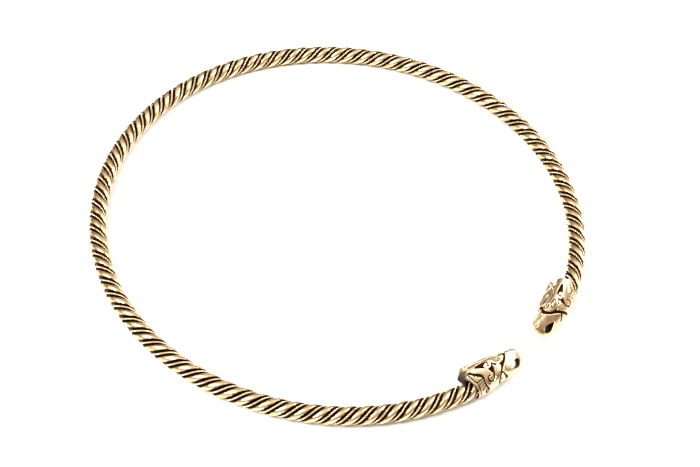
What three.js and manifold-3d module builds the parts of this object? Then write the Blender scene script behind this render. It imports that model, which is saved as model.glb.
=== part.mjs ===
// Bronze torc: an open neck ring of three thick wires twisted together, with a fine two-ply wire
// cord lying in each groove between them, and a cast raven head on each end. Millimetres, +Z up.
// The ring lies on its underside with the gap between the beaks towards -Y.
import * as THREE from 'three';
import { mergeVertices } from 'three/addons/utils/BufferGeometryUtils.js';
import Module from 'manifold-3d';

const wasm = await Module();
wasm.setup();

// ---------------------------------------------------------------- driving dimensions
const HOOP_RADIUS = 70;        // centreline of the rope
const BEAK_GAP = 9.4;          // opening between the two beak tips, along the centreline
const SOCKET_FLOOR = 14.2;     // beak tip to the bottom of the socket that takes the rope

const ROPE_RADIUS = 2.6;       // over the thick wires
const LAY_LENGTH = 14.2;       // one full turn of the rope, left-hand lay
const THICK_WIRE_RADIUS = 1.13;
const FINE_CORD_RADIUS = 0.34; // over both plies
const FINE_CORD_REACH = 2.46;  // rope centre to the outside of a fine cord
const STEPS_PER_TURN = 5.6;    // flat stretches in each turn of a wire
const WIRE_COUNT = 3;

const SOCKET_RADIUS = 2.74;
const ROPE_END_GAP = 0.3;      // between the rope's end and the socket's floor
const CREST_TILT = 35 * Math.PI / 180;  // the crest leans inwards: its angle above the hoop's plane
const HEAD_UNDERSIDE = -3.42;  // the small flat that each head lies on, below the rope's centreline

const BRONZE = { color: 0xb8935a, roughness: 0.35, metalness: 1.0 };
const DARK_BRONZE = { color: 0x6d5330, roughness: 0.5, metalness: 1.0 };
const CAST_BRONZE = { color: 0xc09c66, roughness: 0.4, metalness: 1.0 };

// ---------------------------------------------------------------- small helpers
const TAU = 2 * Math.PI;

// A smooth line through [place, value] pairs, flat beyond its ends.
function profile(pairs) {
  return (place) => {
    if (place <= pairs[0][0]) return pairs[0][1];
    const next = pairs.findIndex(([at]) => at > place);
    if (next < 0) return pairs[pairs.length - 1][1];
    const [x0, y0] = pairs[next - 1];
    const [x1, y1] = pairs[next];
    const t = (place - x0) / (x1 - x0);
    return y0 + (y1 - y0) * t * t * (3 - 2 * t) * 0.5 + (y1 - y0) * t * 0.5;
  };
}

// Closed body through a row of rings that all have the same number of points, with fan caps. The
// diagonals suit rings that turn left-handed, so a twisted bar stays full between its rings.
function loft(rings) {
  const count = rings[0].length;
  const points = rings.flat();
  const faces = [];
  for (let i = 0; i < rings.length - 1; i += 1) {
    for (let j = 0; j < count; j += 1) {
      const a = i * count + j;
      const b = i * count + (j + 1) % count;
      faces.push(a, b, a + count, b, b + count, a + count);
    }
  }
  const last = (rings.length - 1) * count;
  for (let j = 1; j < count - 1; j += 1) {
    faces.push(0, j + 1, j, last, last + j, last + j + 1);
  }
  return facingOut(points, faces);
}

function signedVolume(points, faces) {
  let sum = 0;
  const corner = new THREE.Vector3();
  for (let i = 0; i < faces.length; i += 3) {
    const [a, b, c] = [0, 1, 2].map((k) => points[faces[i + k]]);
    sum += a.dot(corner.crossVectors(b, c)) / 6;
  }
  return sum;
}

// Geometry from points and faces, turned over if its faces point inwards.
function facingOut(points, faces) {
  const turned = signedVolume(points, faces) < 0;
  const order = turned ? faces.map((_, i) => faces[i - (i % 3) + [0, 2, 1][i % 3]]) : faces;
  const geometry = new THREE.BufferGeometry();
  geometry.setAttribute('position', new THREE.Float32BufferAttribute(points.flatMap((p) => p.toArray()), 3));
  geometry.setIndex(order);
  return geometry;
}

function toSolid(geometry) {
  const bare = geometry.clone();
  bare.deleteAttribute('normal');
  bare.deleteAttribute('uv');
  const merged = mergeVertices(bare, 1e-4);
  return new wasm.Manifold(new wasm.Mesh({
    numProp: 3,
    vertProperties: merged.attributes.position.array,
    triVerts: Uint32Array.from(merged.index.array),
  }));
}

// The solid's points and faces, with each point moved by the given function.
function fromSolid(solid, move) {
  const mesh = solid.getMesh();
  const points = [];
  for (let i = 0; i < mesh.vertProperties.length; i += mesh.numProp) {
    points.push(move(...mesh.vertProperties.slice(i, i + 3)));
  }
  return facingOut(points, Array.from(mesh.triVerts));
}

// ---------------------------------------------------------------- places along the hoop
// A place is given by its distance from the middle of the gap along the centreline, its distance
// outwards from the centreline, and its height. side is -1 for the head on -X and 1 for +X.
function onHoop(fromGap, outwards, up, side) {
  const angle = -Math.PI / 2 + side * fromGap / HOOP_RADIUS;
  const radius = HOOP_RADIUS + outwards;
  return new THREE.Vector3(radius * Math.cos(angle), radius * Math.sin(angle), up);
}

// ---------------------------------------------------------------- the rope
const ROPE_START = BEAK_GAP / 2 + SOCKET_FLOOR + ROPE_END_GAP;
const ROPE_LENGTH = TAU * HOOP_RADIUS - 2 * ROPE_START;
const ROPE_STEPS = Math.round(ROPE_LENGTH / LAY_LENGTH * STEPS_PER_TURN);

// A wire of the rope: its outline across the rope, as [radius, angle] points, is carried along the
// centreline and turned once in each lay length, so the wires keep clear of each other all the way.
function twistedWire(outline, turnedBy) {
  const rings = [];
  for (let i = 0; i <= ROPE_STEPS; i += 1) {
    const along = i / ROPE_STEPS * ROPE_LENGTH;
    const turn = turnedBy + TAU * along / LAY_LENGTH;
    rings.push(outline.map(([radius, angle]) => onHoop(
      ROPE_START + along,
      radius * Math.cos(angle + turn),
      radius * Math.sin(angle + turn),
      1,
    )));
  }
  return loft(rings);
}

// Outline of a round wire that crosses the section at a slant, so it is longer around the rope
// than across it. Corners are given by their direction from the wire's own centre.
function slantedCircle(centreRadius, wireRadius, directions) {
  const slant = Math.hypot(1, TAU * centreRadius / LAY_LENGTH);
  return directions.map((direction) => {
    const x = centreRadius + wireRadius * Math.cos(direction);
    const y = wireRadius * slant * Math.sin(direction);
    return [Math.hypot(x, y), Math.atan2(y, x)];
  });
}

function degrees(...values) {
  return values.map((value) => value * Math.PI / 180);
}

function thickWire(index) {
  const outline = slantedCircle(ROPE_RADIUS - THICK_WIRE_RADIUS, THICK_WIRE_RADIUS,
    degrees(-130, -62, 0, 62, 130));
  return twistedWire(outline, index / WIRE_COUNT * TAU);
}

function fineCord(index) {
  const outline = slantedCircle(FINE_CORD_REACH - FINE_CORD_RADIUS, FINE_CORD_RADIUS,
    degrees(-60, 60, 180));
  return twistedWire(outline, (index + 0.5) / WIRE_COUNT * TAU);
}

// ---------------------------------------------------------------- the raven head
// Modelled straight: X from the beak tip back along the rope's centreline, Y up to the crest,
// Z out to one cheek. The two cheeks have the same shape, and the upper one carries the carving.
const CREST_LINE = profile([[0, 2.2], [0.4, 3.0], [1.2, 3.8], [3, 4.6], [5.5, 5.1], [9, 5.8],
  [12, 6.15], [15, 6.25], [18, 6.4]]);
const JAW_LINE = profile([[0, -0.7], [0.5, -1.5], [1.4, -2.1], [3.5, -2.5], [6.5, -2.3], [8.5, -2.1],
  [11, -2.5], [14, -2.75], [17, -2.95]]);
const HALF_WIDTH = profile([[0, 0.7], [0.5, 1.0], [2, 1.4], [5, 2.0], [7.6, 2.6], [9, 3.25],
  [12, 3.5], [16, 3.6]]);
const NAPE_START = 13;         // behind this the sections lean back, so the crown overhangs the rope
const NAPE_LEAN = 1.8;
const HEAD_STATIONS = [0, 0.5, 1.7, 4.5, 7.6, 9.2, 12.5, 17.3];

// Corners of a section from the crest down one cheek to the jaw: height as a share of the whole,
// and width as a share of the half width.
const SECTION = [[1, 0], [0.975, 0.6], [0.87, 0.93], [0.5, 1], [0.18, 0.92], [0.03, 0.55], [0, 0]];

function headSection(station) {
  const low = JAW_LINE(station);
  const high = CREST_LINE(station);
  const half = HALF_WIDTH(station);
  const lean = NAPE_LEAN * Math.max(0, station - NAPE_START) / (HEAD_STATIONS.at(-1) - NAPE_START);
  const corner = ([height, width], side) => new THREE.Vector3(
    station + lean * height, low + (high - low) * height, side * half * width);
  const cheek = SECTION.map((share) => corner(share, 1));
  const other = SECTION.slice(1, -1).reverse().map((share) => corner(share, -1));
  return cheek.concat(other);
}

// Distance from the middle plane to the cheek's surface at a place on it.
function cheekAt(x, y) {
  const height = (y - JAW_LINE(x)) / (CREST_LINE(x) - JAW_LINE(x));
  const next = Math.max(1, SECTION.findIndex(([share]) => share <= height));
  const [h0, w0] = SECTION[next - 1];
  const [h1, w1] = SECTION[next];
  return HALF_WIDTH(x) * (w0 + (w1 - w0) * (h0 - height) / (h0 - h1));
}

// A strip that follows a row of [x, y, width] places on a cheek. Its sides slope, and it reaches
// from one depth under or over the cheek's surface to another.
function strip(places, footWidth, foot, topWidth, top) {
  const rings = places.map(([x, y, width], i) => {
    const [xa, ya] = places[Math.max(0, i - 1)];
    const [xb, yb] = places[Math.min(places.length - 1, i + 1)];
    const run = Math.hypot(xb - xa, yb - ya);
    const across = [-(yb - ya) / run * width / 2, (xb - xa) / run * width / 2];
    const surface = cheekAt(x, y);
    return [[-footWidth, foot], [footWidth, foot], [topWidth, top], [-topWidth, top]].map(
      ([share, out]) => new THREE.Vector3(x + across[0] * share, y + across[1] * share, surface + out));
  });
  return toSolid(loft(rings));
}

function band(places) {
  return strip(places, 1.2, -0.4, 0.7, 0.26);
}

function groove(places) {
  return strip(places, 0.4, -0.5, 1.4, 0.8);
}

// Places on a spiral that winds about a centre.
function spiral([x, y], fromRadius, toRadius, fromAngle, toAngle, steps, width) {
  return Array.from({ length: steps + 1 }, (_, i) => {
    const t = i / steps;
    const angle = (fromAngle + (toAngle - fromAngle) * t) * Math.PI / 180;
    const radius = fromRadius + (toRadius - fromRadius) * t;
    return [x + radius * Math.cos(angle), y + radius * Math.sin(angle), width];
  });
}

function ball(x, y, z, rx, ry, rz, turn = 0) {
  return toSolid(new THREE.IcosahedronGeometry(1, 0).scale(rx, ry, rz).rotateZ(turn).translate(x, y, z));
}

// The S-scroll that ends in a coil, the strap that wraps the coil and broadens up beside the beak,
// the curl under the crown, the eye's lid, the eye and the knob where the scroll begins.
const COIL = [13.0, 0.95];
const CURL = [12.85, 4.45];
const EYE = [9.0, 4.7];
const EYE_SLOPE = 22 * Math.PI / 180;
function cheekCarving() {
  const scroll = [[17.4, 5.3, 1.0], [16.2, 3.8, 1.0]]
    .concat(spiral(COIL, 1.5, 0.5, 75, 350, 5, 0.7));
  const strap = spiral(COIL, 1.6, 1.8, 25, -95, 3, 0.9)
    .concat([[10.9, 0.3, 1.3], [9.5, 2.8, 2.6]]);
  const curl = [[15.6, 5.5, 0.6]].concat(spiral(CURL, 1.25, 0.55, 70, 320, 4, 0.6));
  const lid = [[10.8, 4.8, 0.5], [9.4, 3.55, 0.5], [7.3, 3.7, 0.5]];
  return [band(scroll), band(strap), band(curl), band(lid)];
}

// The tear-shaped hole through the beak, pointed towards the rope.
function beakHole() {
  const outline = new THREE.Shape();
  outline.moveTo(6.0, 0.25);
  outline.quadraticCurveTo(4.3, 1.25, 2.8, 1.15);
  outline.quadraticCurveTo(1.5, 0.9, 1.5, 0);
  outline.quadraticCurveTo(1.7, -1.25, 3.3, -1.2);
  outline.quadraticCurveTo(4.8, -0.9, 6.0, 0.25);
  return toSolid(new THREE.ExtrudeGeometry(outline, { depth: 8, bevelEnabled: false, curveSegments: 2 })
    .translate(0, 0, -4));
}

// The deep groove between the smooth beak and the carved head, and the mouth's slit below it.
const BEAK_GROOVE = [[5.0, 5.0, 0.5], [6.6, 3.0, 0.5], [9.3, 0.3, 0.5], [10.9, -1, 0.4]];
const MOUTH = [[8.9, 0.2, 0.4], [7.9, -1.1, 0.4], [6.6, -1.9, 0.4]];

function socket() {
  const length = 12;
  return toSolid(new THREE.CylinderGeometry(SOCKET_RADIUS, SOCKET_RADIUS, length, 10)
    .rotateZ(Math.PI / 2)
    .translate(SOCKET_FLOOR + length / 2, 0, 0));
}

// Everything below the flat that the head lies on.
function belowUnderside() {
  const size = 40;
  return toSolid(new THREE.BoxGeometry(size, size, size)
    .translate(0, 0, HEAD_UNDERSIDE - size / 2)
    .rotateX(-CREST_TILT));
}

function headSolid() {
  const onOtherCheek = (solid) => solid.mirror([0, 0, 1]);
  const carved = cheekCarving();
  const eye = ball(...EYE, cheekAt(...EYE), 1.25, 0.55, 0.4, EYE_SLOPE);
  const knob = ball(17.6, 5.3, 2.7, 0.9, 0.9, 0.8);
  const nape = ball(18.0, 5.4, 0, 1.4, 1.1, 2.4);
  const beakGroove = groove(BEAK_GROOVE);
  let solid = toSolid(loft(HEAD_STATIONS.map(headSection)));
  for (const piece of [...carved, eye, knob, nape, onOtherCheek(eye)]) {
    solid = solid.add(piece);
  }
  const cuts = [beakGroove, onOtherCheek(beakGroove), groove(MOUTH), beakHole(), socket(),
    belowUnderside()];
  for (const cut of cuts) {
    solid = solid.subtract(cut);
  }
  return solid;
}

// Straight head to its place on the hoop: bent along the centreline, its crest leaning inwards.
function headOnHoop(solid, side) {
  return fromSolid(solid, (x, y, z) => {
    const outwards = -y * Math.cos(CREST_TILT) + z * Math.sin(CREST_TILT);
    const up = y * Math.sin(CREST_TILT) + z * Math.cos(CREST_TILT);
    return onHoop(BEAK_GAP / 2 + x, outwards, up, side);
  });
}

// ---------------------------------------------------------------- the whole torc
function named(name, geometry, finish) {
  const mesh = new THREE.Mesh(geometry, new THREE.MeshStandardMaterial(finish));
  mesh.name = name;
  return mesh;
}

// The heads are a little thicker than the rope, so the ring leans until its back touches too.
const hoop = new THREE.Group();
hoop.rotation.x = Math.atan((ROPE_RADIUS + HEAD_UNDERSIDE) / (2 * HOOP_RADIUS));
for (let i = 0; i < WIRE_COUNT; i += 1) {
  hoop.add(named(`thick_wire_${i + 1}`, thickWire(i), BRONZE));
  hoop.add(named(`fine_cord_${i + 1}`, fineCord(i), DARK_BRONZE));
}
const head = headSolid();
hoop.add(named('raven_head_1', headOnHoop(head, -1), CAST_BRONZE));
hoop.add(named('raven_head_2', headOnHoop(head, 1), CAST_BRONZE));

// The origin is under the middle of the ring's box, on the surface that it lies on.
const torc = new THREE.Group();
torc.add(hoop);
torc.updateMatrixWorld(true);
const box = new THREE.Box3().setFromObject(torc, true);
torc.position.set(-(box.min.x + box.max.x) / 2, -(box.min.y + box.max.y) / 2, -box.min.z);

export default torc;
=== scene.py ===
"""Bronze torc: a neck ring of three thick wires and three fine two-ply cords twisted together,
with a cast raven head on each end, lying on a pale floor.

All shapes are worked out in millimetres, in the plane of the ring with its centre at the origin
and the gap between the beaks towards -Y, and on_the_row puts them in the row's frame in metres.
"""
from math import atan, cos, pi, radians, sin, tau

import bmesh
import bpy
import numpy as np
from mathutils import Matrix, Vector


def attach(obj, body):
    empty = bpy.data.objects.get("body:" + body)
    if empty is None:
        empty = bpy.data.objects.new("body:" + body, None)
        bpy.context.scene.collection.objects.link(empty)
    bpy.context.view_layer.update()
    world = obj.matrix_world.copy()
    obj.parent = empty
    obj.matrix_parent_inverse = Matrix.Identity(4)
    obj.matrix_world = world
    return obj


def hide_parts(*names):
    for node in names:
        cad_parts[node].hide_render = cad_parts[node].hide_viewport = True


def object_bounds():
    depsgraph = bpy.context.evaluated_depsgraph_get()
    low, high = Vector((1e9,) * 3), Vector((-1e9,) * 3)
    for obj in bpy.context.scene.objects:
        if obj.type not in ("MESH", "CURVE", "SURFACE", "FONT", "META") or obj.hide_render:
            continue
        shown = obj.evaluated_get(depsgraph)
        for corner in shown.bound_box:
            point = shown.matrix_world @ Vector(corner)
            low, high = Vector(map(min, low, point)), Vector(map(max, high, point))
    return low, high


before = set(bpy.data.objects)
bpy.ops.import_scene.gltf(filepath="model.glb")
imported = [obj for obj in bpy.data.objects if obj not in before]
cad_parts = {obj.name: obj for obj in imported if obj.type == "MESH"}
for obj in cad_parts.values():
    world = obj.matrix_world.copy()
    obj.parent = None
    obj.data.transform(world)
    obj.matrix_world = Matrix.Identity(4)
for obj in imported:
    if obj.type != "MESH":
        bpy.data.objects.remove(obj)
CAD_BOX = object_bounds()

# ------------------------------------------------------------ sizes in millimetres
MM = 0.001
HOOP_RADIUS = 70.0         # centreline of the rope
BEAK_GAP = 9.4             # between the beak tips, along the centreline
SOCKET_FLOOR = 14.2        # beak tip to the bottom of the socket
SOCKET_RADIUS = 2.74
ROPE_END_GAP = 0.3         # between the rope's end and the bottom of the socket

ROPE_RADIUS = 2.6          # over the thick wires
LAY_LENGTH = 14.2          # one turn of the rope, left-hand lay
WIRE_COUNT = 3             # of the thick wires, and of the fine cords between them
THICK_WIRE_RADIUS = 1.13
FINE_CORD_RADIUS = 0.31    # over both plies
FINE_CORD_REACH = 2.45     # rope centre to the outside of a fine cord
PLY_RADIUS = 0.16
PLY_LAY = 1.35             # one turn of the two plies about each other
PATTERN_STEP = 7           # between two wires' places in the pattern of lengthwise marks

HEAD_UNDERSIDE = -3.42     # the flat that each head lies on, below the rope's centreline
BEND_START = 11.0          # beak tip to where the beak's bend starts
# The two heads differ a little, so these are given by side: -1 is the first head's, 1 the second's.
CREST_TILT = {-1: radians(36), 1: radians(43)}     # the crest's angle above the ring's plane
BEAK_BEND = {-1: (0.0, 0.0), 1: (0.7, -0.6)}       # how far the beak's tip is off, up and sideways
REAR_CARVING = {-1: 1.0, 1: 0.35}                  # how much depth and patina the rear carving keeps: less on the second head, shallower for wear and paler as a painted highlight

# The heads are thicker than the rope, so the ring leans until its back touches the floor too.
LEAN = atan((ROPE_RADIUS + HEAD_UNDERSIDE) / (2 * HOOP_RADIUS))
RING_CENTRE = Vector((
    0,
    CAD_BOX[1].y - (HOOP_RADIUS + ROPE_RADIUS) * MM,
    CAD_BOX[0].z + (ROPE_RADIUS - HOOP_RADIUS * sin(LEAN)) * MM,
))
MERGE_DISTANCE = 1e-7      # points nearer than this are one, in metres


# ------------------------------------------------------------ places on the ring
def on_hoop(from_gap, outwards, up, side):
    """Points from their distance along the centreline from the middle of the gap, outwards from
    the centreline and above it: the centreline is a circle, and side is -1 or 1 for the half."""
    angle = -pi / 2 + side * from_gap / HOOP_RADIUS
    radius = HOOP_RADIUS + outwards
    return np.stack([radius * np.cos(angle), radius * np.sin(angle), up + 0 * angle], axis=-1)


def on_the_row(points):
    """Points of the ring's own plane, leant about X and moved to the ring's centre, in metres."""
    lean = np.array(Matrix.Rotation(LEAN, 3, "X"))
    return points.reshape(-1, 3) @ lean.T * MM + np.array(RING_CENTRE)


def add_piece(name, points, faces, masks, node):
    """A smooth-shaded mesh from points and faces, with doubled points merged, faces turned
    outwards and each named mask kept as an attribute on the points."""
    mesh = bpy.data.meshes.new(name)
    mesh.from_pydata(on_the_row(points).tolist(), [], faces)
    for mask, values in masks.items():
        values = np.ascontiguousarray(values, dtype=np.float32)
        is_vector = values.size > len(mesh.vertices)
        attribute = mesh.attributes.new(mask, "FLOAT_VECTOR" if is_vector else "FLOAT", "POINT")
        attribute.data.foreach_set("vector" if is_vector else "value", values.ravel())
    shell = bmesh.new()
    shell.from_mesh(mesh)
    bmesh.ops.remove_doubles(shell, verts=shell.verts, dist=MERGE_DISTANCE)
    bmesh.ops.recalc_face_normals(shell, faces=shell.faces)
    shell.to_mesh(mesh)
    shell.free()
    mesh.shade_smooth()
    piece = bpy.data.objects.new(name, mesh)
    bpy.context.scene.collection.objects.link(piece)
    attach(piece, "root")
    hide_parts(node)
    return piece


def grid_faces(rows, columns, start=0, around=True, skipped=()):
    """Four-sided faces of a grid of points numbered row by row from start. The grid closes round
    its columns when around is true, and has no faces between a skipped column and the next."""
    row, column = np.meshgrid(np.arange(rows - 1), np.arange(columns - (not around)), indexing="ij")
    shown = ~np.isin(column, skipped)
    row, column = row[shown], column[shown]
    following = (column + 1) % columns
    corners = [row * columns + column, row * columns + following,
               (row + 1) * columns + following, (row + 1) * columns + column]
    return (np.stack(corners, axis=-1) + start).tolist()


def running_total(steps):
    """The sum of the steps before each place, from 0 at the first place to the sum of them all."""
    return np.concatenate([[0], np.cumsum(steps)])


def unit(vectors):
    """The same directions, each with a length of 1."""
    return vectors / np.linalg.norm(vectors, axis=1, keepdims=True)


# ------------------------------------------------------------ the rope
ROPE_START = BEAK_GAP / 2 + SOCKET_FLOOR + ROPE_END_GAP
ROPE_LENGTH = tau * HOOP_RADIUS - 2 * ROPE_START


def lay_drift(share):
    """How far the strands are turned ahead of an even lay, at a share of the rope's length: a
    steady part and two slow waves, as hand twisting leaves."""
    return 1.33 - 2.46 * share + 0.4 * np.sin(tau * share) + 0.38 * np.sin(2 * tau * share)


def helix(reach, phase, along):
    """A line that winds left-handed about the centreline at the given reach, about once in each
    lay length, and the direction from the centreline to it."""
    angle = phase + tau * along / LAY_LENGTH + lay_drift(along / ROPE_LENGTH)

    def line_at(distance):
        return on_hoop(ROPE_START + along, distance * np.cos(angle), distance * np.sin(angle), 1)
    line = line_at(reach)
    return line, line_at(reach + 1) - line


def tube(line, outward, radius, sides):
    """Rings of points about a line, and the angles of a ring's points. Each ring is a circle
    across the line, and its first point lies in the outward direction."""
    forward = unit(np.gradient(line, axis=0))
    outward = unit(outward - forward * np.sum(outward * forward, axis=1, keepdims=True))
    sideways = np.cross(forward, outward)
    turn = np.arange(sides) / sides * tau
    circle = (np.cos(turn)[None, :, None] * outward[:, None, :]
              + np.sin(turn)[None, :, None] * sideways[:, None, :])
    return line[:, None, :] + radius * circle, turn


def closed_tube_faces(rings, sides, start=0):
    """The faces of a tube, with one flat face on each end."""
    ends = [list(range(start, start + sides)),
            list(range(start + (rings - 1) * sides, start + rings * sides))]
    return grid_faces(rings, sides, start) + ends


def drawn_place(along, turn, index):
    """A place on a drawn wire for its lengthwise marks: along it and round it, the same on both
    sides of the line where the turn starts again. All in millimetres, each wire on its own."""
    return np.stack([along[:, None] + 0 * turn, np.cos(turn) + PATTERN_STEP * index,
                     np.sin(turn)], axis=-1)


def thick_wire(index):
    """A round wire of the rope. Its hollow mask is 0 on the line furthest out and grows evenly
    round the wire to 1 on the rope's inside. The bronze paints shade, with some patina, from it."""
    rings, sides = 1300, 24
    along = np.linspace(0, ROPE_LENGTH, rings)
    line, outward = helix(ROPE_RADIUS - THICK_WIRE_RADIUS, index / WIRE_COUNT * tau, along)
    points, turn = tube(line, outward, THICK_WIRE_RADIUS, sides)
    hollow = np.broadcast_to(1 - np.abs(turn / pi - 1), (rings, sides))
    drawn = drawn_place(along, turn + 0 * along[:, None], index)
    add_piece(f"thick_wire_{index + 1}_round", points, closed_tube_faces(rings, sides),
              {"hollow": hollow, "drawn": drawn}, f"thick_wire_{index + 1}")


def fine_cord(index):
    """Two plies twisted about each other along a line in the groove between two thick wires. The
    hollow mask is 0 on the cord's outside and 1 on its inside, where the bronze paints shade."""
    rings, sides = 4400, 7
    along = np.linspace(0, ROPE_LENGTH, rings)
    line, outward = helix(FINE_CORD_REACH - FINE_CORD_RADIUS,
                          (index + 0.5) / WIRE_COUNT * tau, along)
    travelled = running_total(np.linalg.norm(np.diff(line, axis=0), axis=1))
    sideways = np.cross(unit(np.gradient(line, axis=0)), outward)
    ply_reach = FINE_CORD_RADIUS - PLY_RADIUS
    points, faces, hollow, drawn = [], [], [], []
    for ply in range(2):
        turn = (tau * travelled / PLY_LAY + pi * ply)[:, None]
        away = np.cos(turn) * outward + np.sin(turn) * sideways
        ply_points, around = tube(line + ply_reach * away, away, PLY_RADIUS, sides)
        points.append(ply_points)
        faces += closed_tube_faces(rings, sides, ply * rings * sides)
        height = np.cos(turn) * ply_reach + PLY_RADIUS * np.cos(turn + around)
        hollow.append(0.5 - 0.5 * height / FINE_CORD_RADIUS)
        drawn.append(drawn_place(travelled, around + turn, WIRE_COUNT + 2 * index + ply))
    add_piece(f"fine_cord_{index + 1}_plies", np.concatenate(points), faces,
              {"hollow": np.concatenate(hollow), "drawn": np.concatenate(drawn)},
              f"fine_cord_{index + 1}")


# ------------------------------------------------------------ the raven head
# Modelled straight, as in the CAD: x from the beak tip back along the rope's centreline, y up to
# the crest and z out to one cheek.
def smooth_line(pairs):
    """A smooth curve through (place, value) pairs: a cubic between each two, whose slope at a pair
    is that of its two neighbours."""
    places, values = np.array(pairs, float).T
    slopes = np.gradient(values, places)

    def at(x):
        x = np.clip(x, places[0], places[-1])
        i = np.clip(np.searchsorted(places, x) - 1, 0, len(places) - 2)
        step = places[i + 1] - places[i]
        t = (x - places[i]) / step
        return ((1 + 2 * t) * (1 - t) ** 2 * values[i] + t * (1 - t) ** 2 * step * slopes[i]
                + t * t * (3 - 2 * t) * values[i + 1] + t * t * (t - 1) * step * slopes[i + 1])
    return at


CREST_LINE = smooth_line([(0, 2.9), (1.2, 3.75), (3, 4.35), (5.5, 4.95), (9, 5.75), (12, 6.1),
                          (15, 6.3), (18, 6.4), (20, 6.4)])
JAW_LINE = smooth_line([(0, -0.7), (1.4, -1.7), (3.5, -2.35), (6.5, -2.3), (8.5, -2.1), (11, -2.4),
                        (14, -2.7), (17, -2.85), (20, -2.85)])
HALF_WIDTH = smooth_line([(0, 0.95), (2, 1.5), (5, 2.05), (7, 2.5), (9, 3.15), (12, 3.4),
                          (16, 3.45), (20, 3.45)])
# The slanted edge of the head's mouth, where it lets the rope in: place along the head by height.
MOUTH_EDGE = smooth_line([(-3.0, 17.6), (0.4, 17.7), (1.7, 18.3), (2.6, 18.95), (3.4, 19.5),
                          (4.2, 19.3), (5.0, 18.5), (5.8, 18.2), (6.5, 18.1)])
NAPE_DIP = 1.5             # how far the back of the crown is hollowed between the ears
NAPE_HEIGHTS = (4.0, 5.4)  # the heights between which that hollow sets in
NAPE_HALF_WIDTH = 1.1
TIP_LENGTH = 1.1           # the beak's rounded end
TIP_HEIGHT = 1.1           # where the middle of the tip is above the rope's centreline
STRETCH_START = 12.0       # behind this the rows across the head lean towards the mouth's slant
MOUTH_START = 17.7         # where the last row would be without the slant
TOP_POWER, JAW_POWER = 4.0, 2.3     # how square the head's section is above and below

HOLE_FRONT, HOLE_BACK = 1.5, 6.0
HOLE_RISE, HOLE_FALL = 1.15, 1.25   # the hole's reach above and below its own middle line
HOLE_SHARE = 0.357         # the middle line's height as a share of the head's
HOLE_MARGIN = 0.03         # rows this near to the hole's ends belong to it too

LIP_SWELL = 0.2            # how far the rim swells backwards
LIP_WALL = 0.5             # where the head's wall is thinner than this, the rim swells less

# Columns of the head's grid are spaced by the crown's step, each cheek's (1 is the upper cheek) and
# the jaw's, measured round a section of the typical size. The steps change over the two stretches,
# given as distances from the middle of the crown and from the middle of the jaw.
TYPICAL_HEIGHT, TYPICAL_HALF_WIDTH = 9.0, 3.5
CROWN_STEP, CHEEK_STEP, JAW_STEP = 0.1, {1: 0.07, -1: 0.12}, 0.18
CROWN_TO_CHEEK, CHEEK_TO_JAW = (2.0, 3.6), (-3.2, -1.6)
SECTION_SAMPLES = 4001
TIP_ROWS, MAIN_ROWS, LIP_ROWS, WALL_ROWS = 12, 252, 14, 6
HOLE_COLUMNS = 11          # across the head, on the two walls of the hole


def soft_step(low, high, x):
    """0 below low, 1 above high, and a smooth cubic between."""
    t = np.clip((x - low) / (high - low), 0, 1)
    return t * t * (3 - 2 * t)


def width_share(height):
    """Half width of the head at a share of its height: a rounded box above, a round jaw below."""
    power = np.where(height > 0.5, TOP_POWER, JAW_POWER)
    return np.clip(1 - np.abs(2 * height - 1) ** power, 0, 1) ** (1 / power)


def columns_round_the_head():
    """Height shares and cheek signs of the grid's columns, from the crest down the upper cheek to
    the jaw and up the other cheek. The spacing is finest on the upper cheek. Each cheek has two
    columns on the hole's middle line, and the number of the first of each two comes back too."""
    upper = 1 - 0.5 * np.linspace(0, 1, SECTION_SAMPLES) ** TOP_POWER
    lower = 0.5 * np.linspace(1, 0, SECTION_SAMPLES) ** JAW_POWER
    height = np.concatenate([upper, lower[1:]])
    length = running_total(np.hypot(np.diff(TYPICAL_HEIGHT * height),
                                    np.diff(TYPICAL_HALF_WIDTH * width_share(height))))
    at_hole = np.interp(-HOLE_SHARE, -height, length)
    shares, signs, slits = [], [], []
    for sign, cheek in CHEEK_STEP.items():
        step = (CROWN_STEP + (cheek - CROWN_STEP) * soft_step(*CROWN_TO_CHEEK, length)
                + (JAW_STEP - cheek) * soft_step(*CHEEK_TO_JAW, length - length[-1]))
        steps = running_total(np.diff(length) / step[1:])
        hole_place = np.interp(at_hole, length, steps)
        hole_step = round(hole_place)
        places = np.concatenate([
            np.linspace(0, hole_place, hole_step + 1),
            np.linspace(hole_place, steps[-1], round(steps[-1]) - hole_step + 1)])
        share = np.interp(np.interp(places, steps, length), length, height)
        share[hole_step:hole_step + 2] = HOLE_SHARE
        start = sum(map(len, shares))
        if sign > 0:
            shares.append(share[:-1])
            slits.append(start + hole_step)
        else:
            shares.append(share[:0:-1])
            slits.append(start + len(share) - 2 - hole_step)
        signs.append(np.full(len(shares[-1]), float(sign)))
    return np.concatenate(shares), np.concatenate(signs), slits


# ------------------------------------------------------------ the carving
# Places on a cheek are x along the head and v up it. Over the crest's edge v goes on across the
# crown, so it is the height plus the distance in from the cheek. Lines also give their width.
FAR_AWAY = 99.0            # further than any two places on the head
CURVE_STEPS = 6            # straight steps between two points of a line


def to_segment(x, v, start, end):
    """Distance to the straight step between two places, and where on it the nearest place is."""
    (ax, av), (bx, bv) = start, end
    ex, ev = bx - ax, bv - av
    share = np.clip(((x - ax) * ex + (v - av) * ev) / (ex * ex + ev * ev), 0, 1)
    return np.hypot(x - ax - share * ex, v - av - share * ev), share


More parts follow.
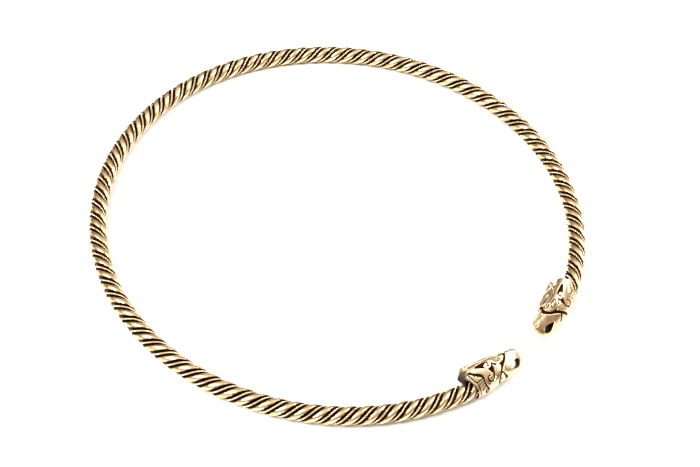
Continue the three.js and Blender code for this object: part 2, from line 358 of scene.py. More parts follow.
def beyond(x, v, line):
    """Distance outside the edge of a band, negative inside it. The band follows a smooth line
    through (x, v, width) points, and its width changes along it."""
    last = len(line) - 1
    t = np.linspace(0, last, CURVE_STEPS * last + 1)
    px, pv, pw = (smooth_line(list(enumerate(column)))(t) for column in zip(*line))
    nearest = np.full(x.shape, FAR_AWAY)
    for k in range(len(t) - 1):
        distance, share = to_segment(x, v, (px[k], pv[k]), (px[k + 1], pv[k + 1]))
        nearest = np.minimum(nearest, distance - (pw[k] + share * (pw[k + 1] - pw[k])) / 2)
    return nearest


def inside(x, v, corners):
    """Distance inside a closed outline through the corners, negative outside it."""
    distance = np.full(x.shape, FAR_AWAY)
    within = np.zeros(x.shape, bool)
    for start, end in zip(corners, corners[1:] + corners[:1]):
        distance = np.minimum(distance, to_segment(x, v, start, end)[0])
        (ax, av), (bx, bv) = start, end
        if bv != av:
            within ^= ((av > v) != (bv > v)) & (x < ax + (bx - ax) * (v - av) / (bv - av))
    return np.where(within, distance, -distance)


EYE = (8.9, 4.9)
EYE_SLOPE = radians(28)
EYE_HALF_LENGTH, EYE_HALF_HEIGHT = 1.2, 0.56
EYE_REACH = 0.6            # from the eye's middle to its outline, taken all round
EYE_RING = (0.85, 1.0, 1.7, 2.0)    # the dark ring's two edges, each with its two ends of eye_share

# how far each kind of edge reaches, from inside its line to outside it
GROOVE_EDGE, FIELD_EDGE = (-0.12, 0.16), (-0.12, 0.15)
CROWN_EDGE, LEAF_EDGE = (-0.1, 0.25), (-0.12, 0.25)
BAND_EDGE, BAND_ROUNDING = (-0.04, 0.2), (-0.5, 0.15)

# bands that stand proud
KNOB = [(17.5, 7.0, 1.9), (17.3, 6.4, 2.0)]
SCROLL = [(17.7, 5.7, 1.3), (17.2, 5.0, 1.4), (16.3, 4.5, 1.4), (15.4, 4.1, 1.4), (14.4, 3.65, 1.3),
          (13.6, 3.15, 1.15), (13.0, 2.6, 0.95), (12.6, 1.95, 0.8), (12.45, 1.25, 0.7),
          (12.65, 0.8, 0.65), (13.1, 0.7, 0.65), (13.3, 0.95, 0.65), (13.1, 1.2, 0.7),
          (12.95, 1.2, 0.7)]
STRAP = [(14.0, 2.6, 0.9), (14.2, 1.9, 0.85), (14.4, 1.3, 0.85), (14.4, 0.6, 0.9),
         (14.0, -0.1, 0.95), (13.2, -0.4, 1.0), (12.3, -0.35, 1.05), (11.5, 0.05, 1.2),
         (10.8, 0.8, 1.35), (10.1, 1.8, 1.6), (9.6, 2.5, 1.7)]
CURL = [(17.0, 7.2, 1.1), (16.0, 7.2, 1.5), (14.8, 7.15, 1.4), (13.7, 7.05, 1.1), (12.8, 6.85, 0.8),
        (12.1, 6.4, 0.62), (11.65, 5.7, 0.58), (11.5, 4.95, 0.56), (11.65, 4.2, 0.56),
        (12.15, 3.85, 0.55), (12.75, 3.85, 0.55), (13.15, 4.3, 0.62), (13.05, 4.8, 0.8),
        (12.75, 5.0, 1.0)]
LID = [(10.75, 5.4, 0.42), (10.3, 4.75, 0.44), (9.7, 4.1, 0.44), (9.0, 3.65, 0.44),
       (8.3, 3.4, 0.44), (7.5, 3.45, 0.44), (6.8, 3.7, 0.42), (6.2, 4.25, 0.4)]
BROW = [(11.7, 7.5, 0.3), (10.9, 7.35, 0.7), (9.8, 7.1, 0.9), (8.9, 6.75, 0.85), (8.35, 6.25, 0.75),
        (7.95, 5.6, 0.6), (7.3, 5.1, 0.5), (6.5, 5.2, 0.5), (6.2, 5.8, 0.5), (6.55, 6.35, 0.6),
        (7.1, 6.35, 0.8)]

# grooves
OUTLINE = [(6.9, 7.4, 0.9), (6.2, 6.5, 0.95), (5.35, 5.6, 0.95), (5.1, 5.1, 0.95), (5.45, 4.3, 1.0),
           (5.95, 3.65, 1.0), (6.55, 3.1, 1.0), (7.35, 2.6, 0.9), (8.05, 2.05, 0.85),
           (8.55, 1.55, 0.8), (9.15, 0.95, 0.72), (9.95, 0.25, 0.64), (10.7, -0.25, 0.58),
           (11.6, -0.65, 0.54), (12.6, -0.92, 0.5), (13.7, -0.9, 0.48)]
REAR_OUTLINE = [(13.7, -0.9, 0.48), (14.6, -0.45, 0.46), (15.05, 0.2, 0.46), (15.1, 1.1, 0.46),
                (15.1, 1.9, 0.5), (15.35, 2.6, 0.6), (16.1, 3.2, 0.75), (17.1, 3.9, 0.8),
                (18.1, 4.5, 0.75), (18.9, 5.1, 0.6)]
LID_GROOVE = [(11.2, 4.85, 0.4), (10.75, 4.2, 0.46), (10.05, 3.55, 0.46), (9.3, 3.1, 0.46),
              (8.4, 2.9, 0.46), (7.6, 2.9, 0.5), (6.9, 3.15, 0.5), (6.2, 3.65, 0.5)]
COIL = [(12.9, 1.72, 0.25), (13.35, 1.72, 0.32), (13.72, 1.4, 0.38), (13.75, 0.8, 0.4),
        (13.4, 0.33, 0.42), (12.8, 0.2, 0.45), (12.2, 0.5, 0.48), (11.8, 1.0, 0.52),
        (11.6, 1.6, 0.55), (11.55, 2.3, 0.6)]
BROW_HOOK = [(7.8, 6.15, 0.28), (7.4, 5.65, 0.34), (6.95, 5.6, 0.32), (6.75, 5.9, 0.22)]
MOUTH = [(9.1, 0.85, 0.4), (8.6, 0.45, 0.45), (8.1, -0.3, 0.45), (7.4, -0.8, 0.42),
         (6.7, -1.2, 0.4)]
BEAK_CREASE = [(4.1, 5.0, 0.7), (3.0, 4.85, 0.7), (2.0, 4.4, 0.7), (0.8, 3.0, 0.6)]
QUILL = [(17.5, 1.5, 0.3), (16.4, 1.6, 0.32), (15.3, 1.95, 0.3)]
TEETH = [[(17.7, 3.9, 0.45), (17.3, 3.1, 0.25)], [(16.9, 3.5, 0.45), (16.5, 2.65, 0.25)],
         [(16.1, 3.0, 0.45), (15.85, 2.35, 0.25)]]
FEATHERS = [[(15.3, 1.25, 0.3), (16.9, 0.6, 0.2)], [(15.25, 0.65, 0.3), (16.7, 0.05, 0.2)],
            [(15.25, 0.05, 0.3), (16.4, -0.5, 0.2)], [(15.1, -0.65, 0.3), (16.1, -1.15, 0.2)]]
JAW_STROKES = [[(x, -1.35, 0.28), (x + 0.2, -1.95, 0.2)] for x in (10.7, 11.5, 12.3, 13.1, 13.9)]
COLLAR = [(19.2, 5.0, 0.26), (18.95, 3.9, 0.26), (18.45, 3.0, 0.26), (17.9, 2.1, 0.26),
          (17.3, 1.15, 0.26), (17.05, 0.3, 0.26), (17.0, -0.8, 0.26), (17.0, -2.2, 0.26)]
RECESS = [(16.0, 6.2), (16.4, 5.5), (15.4, 4.9), (14.0, 4.2), (12.8, 3.5), (12.3, 2.5),
          (11.85, 1.7), (11.3, 1.75), (11.05, 2.7), (10.95, 4.0), (11.0, 4.7), (11.15, 5.7),
          (11.8, 6.5), (12.8, 6.8), (13.8, 6.7), (14.8, 6.4)]

# the crown, by place along the head and distance from its middle
CROWN = [(7.3, 0.4), (7.9, 1.2), (9.0, 1.45), (10.5, 1.65), (11.7, 2.1), (13.0, 1.9), (14.5, 1.65),
         (16.0, 1.6), (17.3, 1.2), (18.5, 0.8)]
LEAF = [(7.5, 0.1, 0.3), (8.3, 0.8, 0.3), (9.6, 1.0, 0.3), (10.9, 0.75, 0.3), (12.2, 0.0, 0.3)]
PLAIT = [(11.5, -2.2, 0.35), (12.9, -1.7, 0.45), (14.3, -0.95, 0.45), (15.4, 0.0, 0.45),
         (16.5, 0.95, 0.45), (17.6, 1.7, 0.35)]
CROWN_CLOSE = -9.0         # the crown's outline is closed well beyond its middle
CROWN_FROM = (7.0, 7.6)    # the heights over which the crown sets in
CROWN_DARKENING, CROWN_CLEAN = 0.5, 0.8     # how dark its ground is made, and how much of that the ridges lose
CROWN_RIDGE = 0.25


def eye_share(x, v):
    """Place across the almond eye: 0 at its middle and 1 on its outline, where two arcs meet."""
    along = (x - EYE[0]) * cos(EYE_SLOPE) + (v - EYE[1]) * sin(EYE_SLOPE)
    across = -(x - EYE[0]) * sin(EYE_SLOPE) + (v - EYE[1]) * cos(EYE_SLOPE)
    return np.abs(along / EYE_HALF_LENGTH) ** 2 + np.abs(across / EYE_HALF_HEIGHT)


def carving(x, v, z, side):
    """Height in millimetres over the plain head, and how dark it is made there: patina in the cuts
    and a darker ground on the crown. What comes later cuts or covers what came before. On the
    second head the rear carving is shallower, for wear, and paler, as a painted highlight."""
    hollow = np.zeros(x.shape)
    height = np.zeros(x.shape)
    rear = REAR_CARVING[side]

    def dig(mask, depth, patina_and_shade=1.0):
        """Cuts down to the depth and lays patina where the mask is 1."""
        np.maximum(hollow, patina_and_shade * mask, out=hollow)
        np.minimum(height, -depth * mask, out=height)

    def groove(line, depth, patina_and_shade=1.0):
        """Cuts along a line, as wide as the line says."""
        dig(1 - soft_step(*GROOVE_EDGE, beyond(x, v, line)), depth, patina_and_shade)

    def raise_band(outside, top):
        """Covers what lies inside an edge with a clean, rounded band."""
        cover = 1 - soft_step(*BAND_EDGE, outside)
        hollow[...] = hollow * (1 - cover)
        height[...] = height * (1 - cover) + cover * top * (1 - soft_step(*BAND_ROUNDING, outside))

    outline = CROWN + [(CROWN[-1][0], CROWN_CLOSE), (CROWN[0][0], CROWN_CLOSE)]
    crown = soft_step(*CROWN_EDGE, inside(x, np.abs(z), outline)) * soft_step(*CROWN_FROM, v)
    dig(crown, depth=0.28, patina_and_shade=CROWN_DARKENING)
    for line, across in ((LEAF, np.abs(z)), (PLAIT, z), (PLAIT, -z)):
        cover = (1 - soft_step(*LEAF_EDGE, beyond(x, across, line))) * crown
        hollow *= 1 - CROWN_CLEAN * cover
        height += CROWN_RIDGE * cover
    groove(BEAK_CREASE, depth=0.1, patina_and_shade=0.3)
    for line in JAW_STROKES + FEATHERS:
        groove(line, depth=0.22 * rear, patina_and_shade=0.9 * rear)
    for line in TEETH + [COLLAR]:
        groove(line, depth=0.28 * rear, patina_and_shade=rear)
    groove(QUILL, depth=0.25)
    groove(REAR_OUTLINE, depth=0.45 * rear, patina_and_shade=rear)
    for line in (MOUTH, LID_GROOVE):
        groove(line, depth=0.38)
    groove(OUTLINE, depth=0.55)
    dig(soft_step(*FIELD_EDGE, inside(x, v, RECESS)), depth=0.55)
    raise_band(beyond(x, v, STRAP), top=0.15)
    groove(COIL, depth=0.45)
    raise_band(beyond(x, v, SCROLL), top=0.28)
    groove(COIL[:5], depth=0.45)
    raise_band(beyond(x, v, CURL), top=0.28)
    raise_band(beyond(x, v, KNOB), top=0.5)
    raise_band(beyond(x, v, LID), top=0.15)
    raise_band(beyond(x, v, BROW), top=0.22)
    groove(BROW_HOOK, depth=0.25)
    eye = eye_share(x, v)
    ring = soft_step(*EYE_RING[:2], eye) * (1 - soft_step(*EYE_RING[2:], eye))
    dig(ring, depth=0.35)
    raise_band(EYE_REACH * (np.sqrt(eye) - 1.0), top=0.22)
    return height, hollow


def blurred(values, reach):
    """The average of a grid over a square of neighbours. The grid closes round its columns."""
    wide = np.pad(values, ((reach, reach), (0, 0)), mode="edge")
    wide = np.pad(wide, ((0, 0), (reach, reach)), mode="wrap")
    for axis in (0, 1):
        total = np.cumsum(wide, axis=axis)
        total = np.insert(total, 0, 0, axis=axis)
        size = 2 * reach + 1
        count = total.shape[axis]
        wide = (np.take(total, range(size, count), axis=axis)
                - np.take(total, range(count - size), axis=axis)) / size
    return wide


# ------------------------------------------------------------ the head's grid
PROUD_REACH = 7            # points each way, for what is round a place
PROUD_WORN = 0.12          # a place this far above what is round it is worn clean
PROUD_HOLLOW, HOLLOW_MOST = 0.3, 0.6     # one this far below is darkened with painted shade, up to the most
LIP_HOLLOW = 0.3           # how hollow the rim is where it starts; the painted shade deepens from there into the socket


def mouth_place(y, z):
    """How far back the head's mouth is at a height and distance from the middle plane."""
    dip = NAPE_DIP * soft_step(*NAPE_HEIGHTS, y) * np.exp(-(z / NAPE_HALF_WIDTH) ** 2)
    return MOUTH_EDGE(y) - dip


def head_grid():
    """Points of the straight head on a grid of rows from the beak tip back to the mouth and of
    columns round it, the numbers of the two slit columns, and the rows that the hole crosses."""
    shares, signs, slits = columns_round_the_head()
    rounding = np.linspace(0, pi / 2, TIP_ROWS + 1)[:-1]
    main = np.linspace(TIP_LENGTH, MOUTH_START, MAIN_ROWS)
    at_hole = (main > HOLE_FRONT - HOLE_MARGIN) & (main < HOLE_BACK + HOLE_MARGIN)
    hole_rows = np.flatnonzero(at_hole) + TIP_ROWS
    place = np.concatenate([TIP_LENGTH * (1 - np.cos(rounding)), main])[:, None]
    size = np.concatenate([np.sin(rounding), np.ones(MAIN_ROWS)])[:, None]

    # the columns part about the hole's middle line, by a drop shape whose greatest height is 1
    along_hole = np.clip((place - HOLE_FRONT) / (HOLE_BACK - HOLE_FRONT), 0, 1)
    opening = np.sqrt(27 / 4) * np.sqrt(along_hole) * (1 - along_hole)
    tall = CREST_LINE(place) - JAW_LINE(place)
    top, bottom = HOLE_SHARE + HOLE_RISE * opening / tall, HOLE_SHARE - HOLE_FALL * opening / tall
    number = np.arange(len(shares))
    above = (number <= slits[0]) | (number > slits[1])
    share = np.where(above, 1 - (1 - shares) * (1 - top) / (1 - HOLE_SHARE),
                     shares * bottom / HOLE_SHARE)

    x = place + 0 * share
    for _ in range(2):
        y = JAW_LINE(x) + (CREST_LINE(x) - JAW_LINE(x)) * share
        z = signs * HALF_WIDTH(x) * width_share(share)
        stretch = (mouth_place(y, z) - STRETCH_START) / (MOUTH_START - STRETCH_START)
        x = place + np.maximum(0, place - STRETCH_START) * (stretch - 1)
    y = TIP_HEIGHT + (y - TIP_HEIGHT) * size
    z = z * size
    return np.stack([x, y, z], axis=-1), slits, hole_rows


def grid_normals(points):
    """Outward normals of a grid that closes round its columns, from its own slopes."""
    down = np.gradient(points, axis=0)
    around = np.roll(points, -1, axis=1) - np.roll(points, 1, axis=1)
    normals = np.cross(around, down)
    length = np.linalg.norm(normals, axis=-1, keepdims=True)
    return normals / np.maximum(length, 1e-9)


def socket_rows(edge):
    """Rows of points from the head's rear edge over its rim to the socket's circle, down the
    socket's wall and to the middle of its floor, and their painted shade."""
    edge_y, edge_z = edge[:, 1], edge[:, 2]
    reach = np.hypot(edge_y, edge_z)
    circle_y, circle_z = SOCKET_RADIUS * edge_y / reach, SOCKET_RADIUS * edge_z / reach
    lip = np.linspace(0, 1, LIP_ROWS + 1)[1:, None]
    y, z = edge_y + (circle_y - edge_y) * lip, edge_z + (circle_z - edge_z) * lip
    thick = np.clip(reach - SOCKET_RADIUS, 0, LIP_WALL)
    x = mouth_place(y, z) + LIP_SWELL * np.sin(pi * lip) * thick / LIP_WALL
    wall = np.linspace(0, 1, WALL_ROWS + 1)[1:, None]
    wall_x = x[-1] + (SOCKET_FLOOR - x[-1]) * wall
    rows = [np.stack([x, y, z], -1),
            np.stack([wall_x, circle_y + 0 * wall, circle_z + 0 * wall], -1),
            np.broadcast_to([SOCKET_FLOOR, 0, 0], (1, len(edge), 3))]
    # painted shade: the rim darkens towards the socket, and the socket's wall and floor are dark
    hollow = [LIP_HOLLOW + (1 - LIP_HOLLOW) * lip + 0 * x, np.ones((WALL_ROWS + 1, len(edge)))]
    return np.concatenate(rows), np.concatenate(hollow)


def hole_walls(points, slits, hole_rows):
    """The upper and the lower wall of the hole through the beak, from cheek to cheek: points,
    faces numbered from the end of the head's own points, and painted shade, deepest in the middle."""
    across = np.linspace(0, 1, HOLE_COLUMNS)
    start = points.shape[0] * points.shape[1]
    walls, faces = [], []
    for first, second in ((slits[0], slits[1] + 1), (slits[0] + 1, slits[1])):
        near, far = points[hole_rows, first], points[hole_rows, second]
        wall = near[:, None] + (far - near)[:, None] * across[None, :, None]
        walls.append(wall.reshape(-1, 3))
        faces += grid_faces(len(hole_rows), HOLE_COLUMNS, start, around=False)
        start += len(walls[-1])
    # painted shade inside the hole, darkest midway between the cheeks
    hollow = np.broadcast_to(np.sin(pi * across) ** 0.5, (2 * len(hole_rows), HOLE_COLUMNS))
    return np.concatenate(walls), faces, hollow.ravel()


def head_points(side):
    """The carved head: the grid moved along its normals by the carving, then the mouth's rim and
    the socket, and the two walls of the hole. Points, faces, and the masks of patina with painted
    shade, and of edges that stand proud of what is round them."""
    points, slits, hole_rows = head_grid()
    x, y, z = np.moveaxis(points, -1, 0)
    v = y + HALF_WIDTH(x) - np.abs(z)
    height, hollow = carving(x, v, z, side)
    proud = height - blurred(height, PROUD_REACH)
    worn = np.clip(proud / PROUD_WORN, 0, 1)
    # painted shade: places sunk below what is round them are darkened, as in a cavity
    hollow = np.maximum(hollow, np.clip(-proud / PROUD_HOLLOW, 0, HOLLOW_MOST))
    normals = grid_normals(points)
    for slit in slits:
        normals[:, slit:slit + 2] = normals[:, slit - 1:slit]
    points = points + normals * height[..., None]

    socket, socket_hollow = socket_rows(points[-1])
    points = np.concatenate([points, socket])
    hollow = np.concatenate([hollow, socket_hollow])
    worn = np.concatenate([worn, 0 * socket_hollow])
    walls, wall_faces, wall_hollow = hole_walls(points, slits, hole_rows)
    faces = grid_faces(*hollow.shape, skipped=slits) + wall_faces
    return (np.concatenate([points.reshape(-1, 3), walls]), faces,
            np.concatenate([hollow.ravel(), wall_hollow]),
            np.concatenate([worn.ravel(), 0 * wall_hollow]))


def raven_head(side):
    """The straight head bent along the centreline, with its crest leant inwards and its underside
    flat. The second head's beak is bent a little off its line."""
    straight, faces, hollow, worn = head_points(side)
    x, y, z = straight.T
    bend = np.clip(1 - x / BEND_START, 0, 1)
    y, z = y + bend * BEAK_BEND[side][0], z + bend * BEAK_BEND[side][1]
    tilt = CREST_TILT[side]
    outwards = -y * cos(tilt) + z * sin(tilt)
    up = np.maximum(y * sin(tilt) + z * cos(tilt), HEAD_UNDERSIDE)
    name = "raven_head_1" if side < 0 else "raven_head_2"
    add_piece(f"{name}_carved", on_hoop(BEAK_GAP / 2 + x, outwards, up, side), faces,
              {"hollow": hollow, "worn": worn}, name)


# ------------------------------------------------------------ finishes
# how many features of each pattern there are in a metre
CLOUD_SCALE, SPECK_SCALE, PIT_SCALE = 260.0, 1500.0, 900.0
CLOUD_RANGE, MARK_RANGE, PIT_RANGE = (0.42, 0.68), (0.5, 0.75), (0.22, 0.05)
RAGGED = 0.28              # how far the edge of the patina and painted shade wanders
CLOUD_DULLS, MARK_DULLS, WEAR_CLEANS = 0.55, 0.5, 0.8
PIT_DARKENS = 0.8
POLISH_ROUGHNESS, DULL_ROUGHENS, DARKENING_ROUGHENS = 0.24, 0.2, 0.35
SPECK_HEIGHT = 0.5         # of the lengthwise marks' height
BUMP_HEIGHT = 0.00006      # of the lengthwise marks, in metres
MARK_STRETCH = (0.5, 6.0, 6.0)      # the marks are long along the wire and narrow round it


def add_node(tree, kind, **settings):
    """A node with its inputs and properties set: a linked input is given as the socket that feeds
    it, and an input whose name repeats is given by its number, as input_3."""
    node = tree.nodes.new("ShaderNode" + kind)
    inputs = {}
    for name, value in settings.items():
        if hasattr(node, name) and not name.startswith("input_"):
            setattr(node, name, value)
        else:
            inputs[name] = value
    for name, value in inputs.items():
        key = int(name[6:]) if name.startswith("input_") else name.replace("_", " ")
        if isinstance(value, bpy.types.NodeSocket):
            tree.links.new(value, node.inputs[key])
        else:
            node.inputs[key].default_value = value
    return node


def worked_out(tree, operation, *terms, clamp=False):
    """The result of a Math node on the terms, which are numbers and sockets."""
    inputs = {f"input_{i}": term for i, term in enumerate(terms)}
    return add_node(tree, "Math", operation=operation, use_clamp=clamp, **inputs).outputs[0]


def mapped(tree, value, start, end, top=1.0, kind="SMOOTHSTEP"):
    """A value's place from start to end, as a number from 0 to the top."""
    return add_node(tree, "MapRange", interpolation_type=kind, Value=value, From_Min=start,
                    From_Max=end, To_Max=top).outputs["Result"]


def mixed(tree, share, first, second):
    """The first colour, or the second where the share is 1."""
    return add_node(tree, "Mix", data_type="RGBA", input_0=share, input_6=first,
                    input_7=second).outputs[2]


def new_group(name, inputs, outputs):
    """An empty shader node group with named sockets, with its input and output nodes."""
    tree = bpy.data.node_groups.new(name, "ShaderNodeTree")
    for direction, sockets in (("INPUT", inputs), ("OUTPUT", outputs)):
        for socket, (kind, value) in sockets.items():
            made = tree.interface.new_socket(socket, in_out=direction,
                                             socket_type="NodeSocket" + kind)
            if value is not None:
                made.default_value = value
    return tree, tree.nodes.new("NodeGroupInput").outputs, tree.nodes.new("NodeGroupOutput").inputs


def aged_and_shaded_bronze():
    """The colour, roughness and height of worn bronze. Polish is cream on what stands proud, tan
    where it has dulled, and a dark colour fills the hollows, with a ragged edge: patina in the
    carving, and painted shade where pieces turn away from the light."""
    tree, given, result = new_group("aged_and_shaded_bronze", {
        "Hollow": ("Float", 0.0), "Worn": ("Float", 0.0), "Darkening From": ("Float", 0.3),
        "Darkening To": ("Float", 0.6), "Marks": ("Float", 0.5),
        "Polish": ("Color", (0.9, 0.7, 0.45, 1)), "Dull": ("Color", (0.6, 0.4, 0.22, 1)),
        "Patina And Shade": ("Color", (0.02, 0.01, 0.005, 1)),
    }, {"Colour": ("Color", None), "Roughness": ("Float", None), "Height": ("Float", None)})
    place = add_node(tree, "TexCoord").outputs["Object"]
    cloud = add_node(tree, "TexNoise", Vector=place, Scale=CLOUD_SCALE, Detail=3.0,
                     Roughness=0.6).outputs["Fac"]
    speck = add_node(tree, "TexNoise", Vector=place, Scale=SPECK_SCALE, Detail=3.0,
                     Roughness=0.65).outputs["Fac"]
    pits = add_node(tree, "TexVoronoi", Vector=place, Scale=PIT_SCALE,
                    Randomness=1.0).outputs["Distance"]

    ragged = worked_out(tree, "MULTIPLY_ADD", speck, RAGGED, -RAGGED / 2)
    hollow = worked_out(tree, "ADD", given["Hollow"], ragged)
    # the dark colour's share: patina in the carving, and painted shade on the wires' and cords'
    # inner sides and in the head's sunk places, socket and hole
    patina_and_shade = mapped(tree, hollow, given["Darkening From"], given["Darkening To"])
    dulled = mapped(tree, cloud, *CLOUD_RANGE)
    marked = mapped(tree, given["Marks"], *MARK_RANGE, top=MARK_DULLS, kind="LINEAR")
    dull = worked_out(tree, "MULTIPLY_ADD", dulled, CLOUD_DULLS, marked, clamp=True)
    rubbed = worked_out(tree, "MULTIPLY_ADD", given["Worn"], -WEAR_CLEANS, 1.0, clamp=True)
    dull = worked_out(tree, "MULTIPLY", dull, rubbed)
    pit = mapped(tree, pits, *PIT_RANGE, top=PIT_DARKENS, kind="LINEAR")
    pitted = worked_out(tree, "MULTIPLY", pit, dulled)
    dark = worked_out(tree, "MAXIMUM", patina_and_shade, pitted)

    metal = mixed(tree, dull, given["Polish"], given["Dull"])
    tree.links.new(mixed(tree, dark, metal, given["Patina And Shade"]), result["Colour"])
    rough = worked_out(tree, "MULTIPLY_ADD", dull, DULL_ROUGHENS, POLISH_ROUGHNESS)
    rough = worked_out(tree, "MULTIPLY_ADD", dark, DARKENING_ROUGHENS, rough, clamp=True)
    tree.links.new(rough, result["Roughness"])
    height = worked_out(tree, "MULTIPLY_ADD", speck, SPECK_HEIGHT, given["Marks"])
    tree.links.new(worked_out(tree, "SUBTRACT", height, pitted), result["Height"])
    return tree


def bronze(name, surface, polish, dull, patina_and_shade, darkening_range, bump, drawn):
    """A bronze whose patina and painted shade follow the piece's own hollow mask: they set in over
    the given range of the mask. A drawn wire has marks along it, and a cast head has none."""
    material = bpy.data.materials.new(name)
    material.use_nodes = True
    tree = material.node_tree
    shader = tree.nodes["Principled BSDF"]
    hollow = add_node(tree, "Attribute", attribute_name="hollow").outputs["Fac"]
    worn = add_node(tree, "Attribute", attribute_name="worn").outputs["Fac"]
    bronze_node = tree.nodes.new("ShaderNodeGroup")
    bronze_node.node_tree = surface
    for socket, value in (("Polish", polish), ("Dull", dull), ("Patina And Shade", patina_and_shade)):
        bronze_node.inputs[socket].default_value = (*value, 1)
    bronze_node.inputs["Darkening From"].default_value, bronze_node.inputs["Darkening To"].default_value = darkening_range
    tree.links.new(hollow, bronze_node.inputs["Hollow"])
    tree.links.new(worn, bronze_node.inputs["Worn"])
    if drawn:
        place = add_node(tree, "Attribute", attribute_name="drawn").outputs["Vector"]
        stretched = add_node(tree, "VectorMath", operation="MULTIPLY", input_0=place,
                             input_1=MARK_STRETCH).outputs["Vector"]
        marks = add_node(tree, "TexNoise", Vector=stretched, Scale=1.0, Detail=3.0, Roughness=0.6)
        tree.links.new(marks.outputs["Fac"], bronze_node.inputs["Marks"])
    tree.links.new(bronze_node.outputs["Colour"], shader.inputs["Base Color"])
    tree.links.new(bronze_node.outputs["Roughness"], shader.inputs["Roughness"])
    shader.inputs["Metallic"].default_value = 1.0
    relief = add_node(tree, "Bump", Height=bronze_node.outputs["Height"], Strength=bump,
                      Distance=BUMP_HEIGHT)
    tree.links.new(relief.outputs["Normal"], shader.inputs["Normal"])
    return material


# ------------------------------------------------------------ the torc
for i in range(WIRE_COUNT):
    thick_wire(i)
    fine_cord(i)
for head_side in (-1, 1):
    raven_head(head_side)

BRONZE_SURFACE = aged_and_shaded_bronze()
# painted shade, with some patina, over all of each wire but its outermost strip, where the wires
# turn towards each other
WIRE_BRONZE = bronze("wire_bronze", BRONZE_SURFACE, polish=(0.82, 0.6, 0.34),
                     dull=(0.58, 0.38, 0.17), patina_and_shade=(0.01, 0.004, 0.0015),
                     darkening_range=(0.18, 0.24), bump=0.5, drawn=True)
# painted shade, with some patina, on the side of each ply that faces into the rope
CORD_BRONZE = bronze("cord_bronze", BRONZE_SURFACE, polish=(0.88, 0.68, 0.44),
                     dull=(0.55, 0.37, 0.19), patina_and_shade=(0.012, 0.005, 0.002),
                     darkening_range=(0.28, 0.5), bump=0.4, drawn=True)
# the head's dark is patina in the carving, and painted shade in sunk places, the socket and the
# beak's hole
HEAD_BRONZE = bronze("head_bronze", BRONZE_SURFACE, polish=(0.78, 0.58, 0.36),
                     dull=(0.5, 0.33, 0.18), patina_and_shade=(0.02, 0.009, 0.004),
                     darkening_range=(0.1, 0.75), bump=0.5, drawn=False)
FINISHES = {f"thick_wire_{i + 1}_round": WIRE_BRONZE for i in range(WIRE_COUNT)}
FINISHES |= {f"fine_cord_{i + 1}_plies": CORD_BRONZE for i in range(WIRE_COUNT)}
FINISHES |= {f"raven_head_{i}_carved": HEAD_BRONZE for i in (1, 2)}
for finished, bronze_kind in FINISHES.items():
    bpy.data.objects[finished].data.materials.append(bronze_kind)


# ------------------------------------------------------------ floor, light and camera
FLOOR_REACH = 3.0
FLOOR_COLOUR, FLOOR_ROUGHNESS = (0.9, 0.9, 0.9, 1), 0.9
# the room's colour by height: low on the walls, halfway up, and from near the ceiling on
ROOM_COLOURS = ((0.05, (0.13, 0.075, 0.04)), (0.5, (0.42, 0.3, 0.19)), (0.85, (1.0, 1.0, 1.0)))


def floor():
    """A wide pale floor under the torc."""
    corners = [(-FLOOR_REACH, -FLOOR_REACH, 0), (FLOOR_REACH, -FLOOR_REACH, 0),
               (FLOOR_REACH, FLOOR_REACH, 0), (-FLOOR_REACH, FLOOR_REACH, 0)]
    mesh = bpy.data.meshes.new("floor")
    mesh.from_pydata(corners, [], [(0, 1, 2, 3)])
    paper = bpy.data.objects.new("floor", mesh)
    bpy.context.scene.collection.objects.link(paper)
    material = bpy.data.materials.new("white_paper")
    material.use_nodes = True
    shader = material.node_tree.nodes["Principled BSDF"]
    shader.inputs["Base Color"].default_value = FLOOR_COLOUR
    shader.inputs["Roughness"].default_value = FLOOR_ROUGHNESS
    mesh.materials.append(material)


def softbox(name, place, size, watts):
    """A square area light that points at the ring."""
    light = bpy.data.lights.new(name, "AREA")
    light.size = size
    light.energy = watts
    holder = bpy.data.objects.new(name, light)
    holder.location = place
    holder.rotation_euler = (RING_CENTRE - Vector(place)).to_track_quat("-Z", "Y").to_euler()
    bpy.context.scene.collection.objects.link(holder)


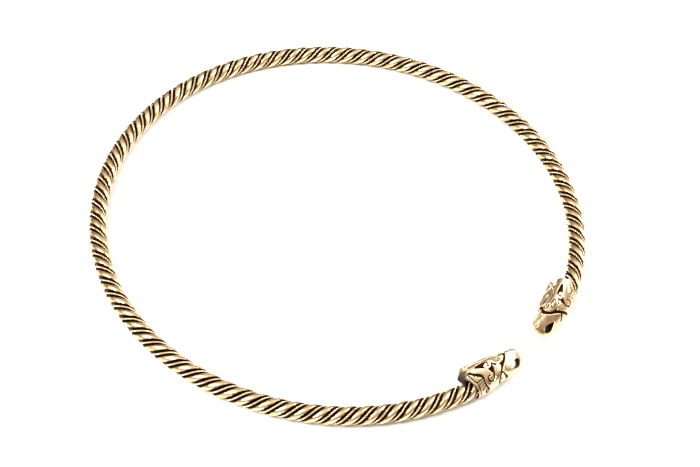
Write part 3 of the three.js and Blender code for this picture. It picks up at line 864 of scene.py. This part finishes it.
def white_room():
    """Even light from above, over walls that are darker and warmer towards the floor."""
    world = bpy.data.worlds.new("white_room")
    world.use_nodes = True
    tree = world.node_tree
    direction = add_node(tree, "TexCoord").outputs["Generated"]
    upward = add_node(tree, "SeparateXYZ", Vector=direction).outputs["Z"]
    wall = add_node(tree, "ValToRGB", Fac=upward)
    ramp = wall.color_ramp
    ramp.elements.new(0.45)    # a third stop, moved with the others below
    for element, (height, colour) in zip(ramp.elements, ROOM_COLOURS):
        element.position, element.color = height, (*colour, 1)
    background = tree.nodes["Background"]
    tree.links.new(wall.outputs["Color"], background.inputs["Color"])
    background.inputs["Strength"].default_value = 1.0
    bpy.context.scene.world = world


CAMERA_HEIGHT_ANGLE = radians(48.91)
CAMERA_TURN = radians(-53.75)
CAMERA_ROLL = radians(5.84)
CAMERA_DISTANCE = 418.2
CAMERA_AIM = (-3.19, 5.36)     # the ring's centre right of and above the middle of the view
CAMERA_LENS, CAMERA_SENSOR = 73.3, 36
CAMERA_CLIP = (0.01, 20)       # in metres


def camera():
    """A camera that looks down at the ring's plane from the height angle, turned about the ring's
    axis and rolled."""
    forward = Vector((0, cos(CAMERA_HEIGHT_ANGLE), -sin(CAMERA_HEIGHT_ANGLE)))
    right = Vector((1, 0, 0))
    upward = right.cross(forward)
    roll = Matrix.Rotation(-CAMERA_ROLL, 3, forward)
    right, upward = roll @ right, roll @ upward
    place = -CAMERA_AIM[0] * right - CAMERA_AIM[1] * upward - CAMERA_DISTANCE * forward
    turn = Matrix.Rotation(LEAN, 3, "X") @ Matrix.Rotation(CAMERA_TURN, 3, "Z")
    lens = bpy.data.cameras.new("camera")
    lens.lens, lens.sensor_width = CAMERA_LENS, CAMERA_SENSOR
    lens.clip_start, lens.clip_end = CAMERA_CLIP
    holder = bpy.data.objects.new("camera", lens)
    axes = turn @ Matrix((right, upward, -forward)).transposed()
    holder.matrix_world = Matrix.Translation(RING_CENTRE + turn @ place * MM) @ axes.to_4x4()
    bpy.context.scene.collection.objects.link(holder)
    bpy.context.scene.camera = holder


floor()
white_room()
softbox("key_light", place=(-0.5, 0.2, 0.7), size=0.5, watts=14)
softbox("fill_light", place=(0.6, -0.4, 0.6), size=0.6, watts=9)
camera()
bpy.context.scene.view_settings.view_transform = "Standard"
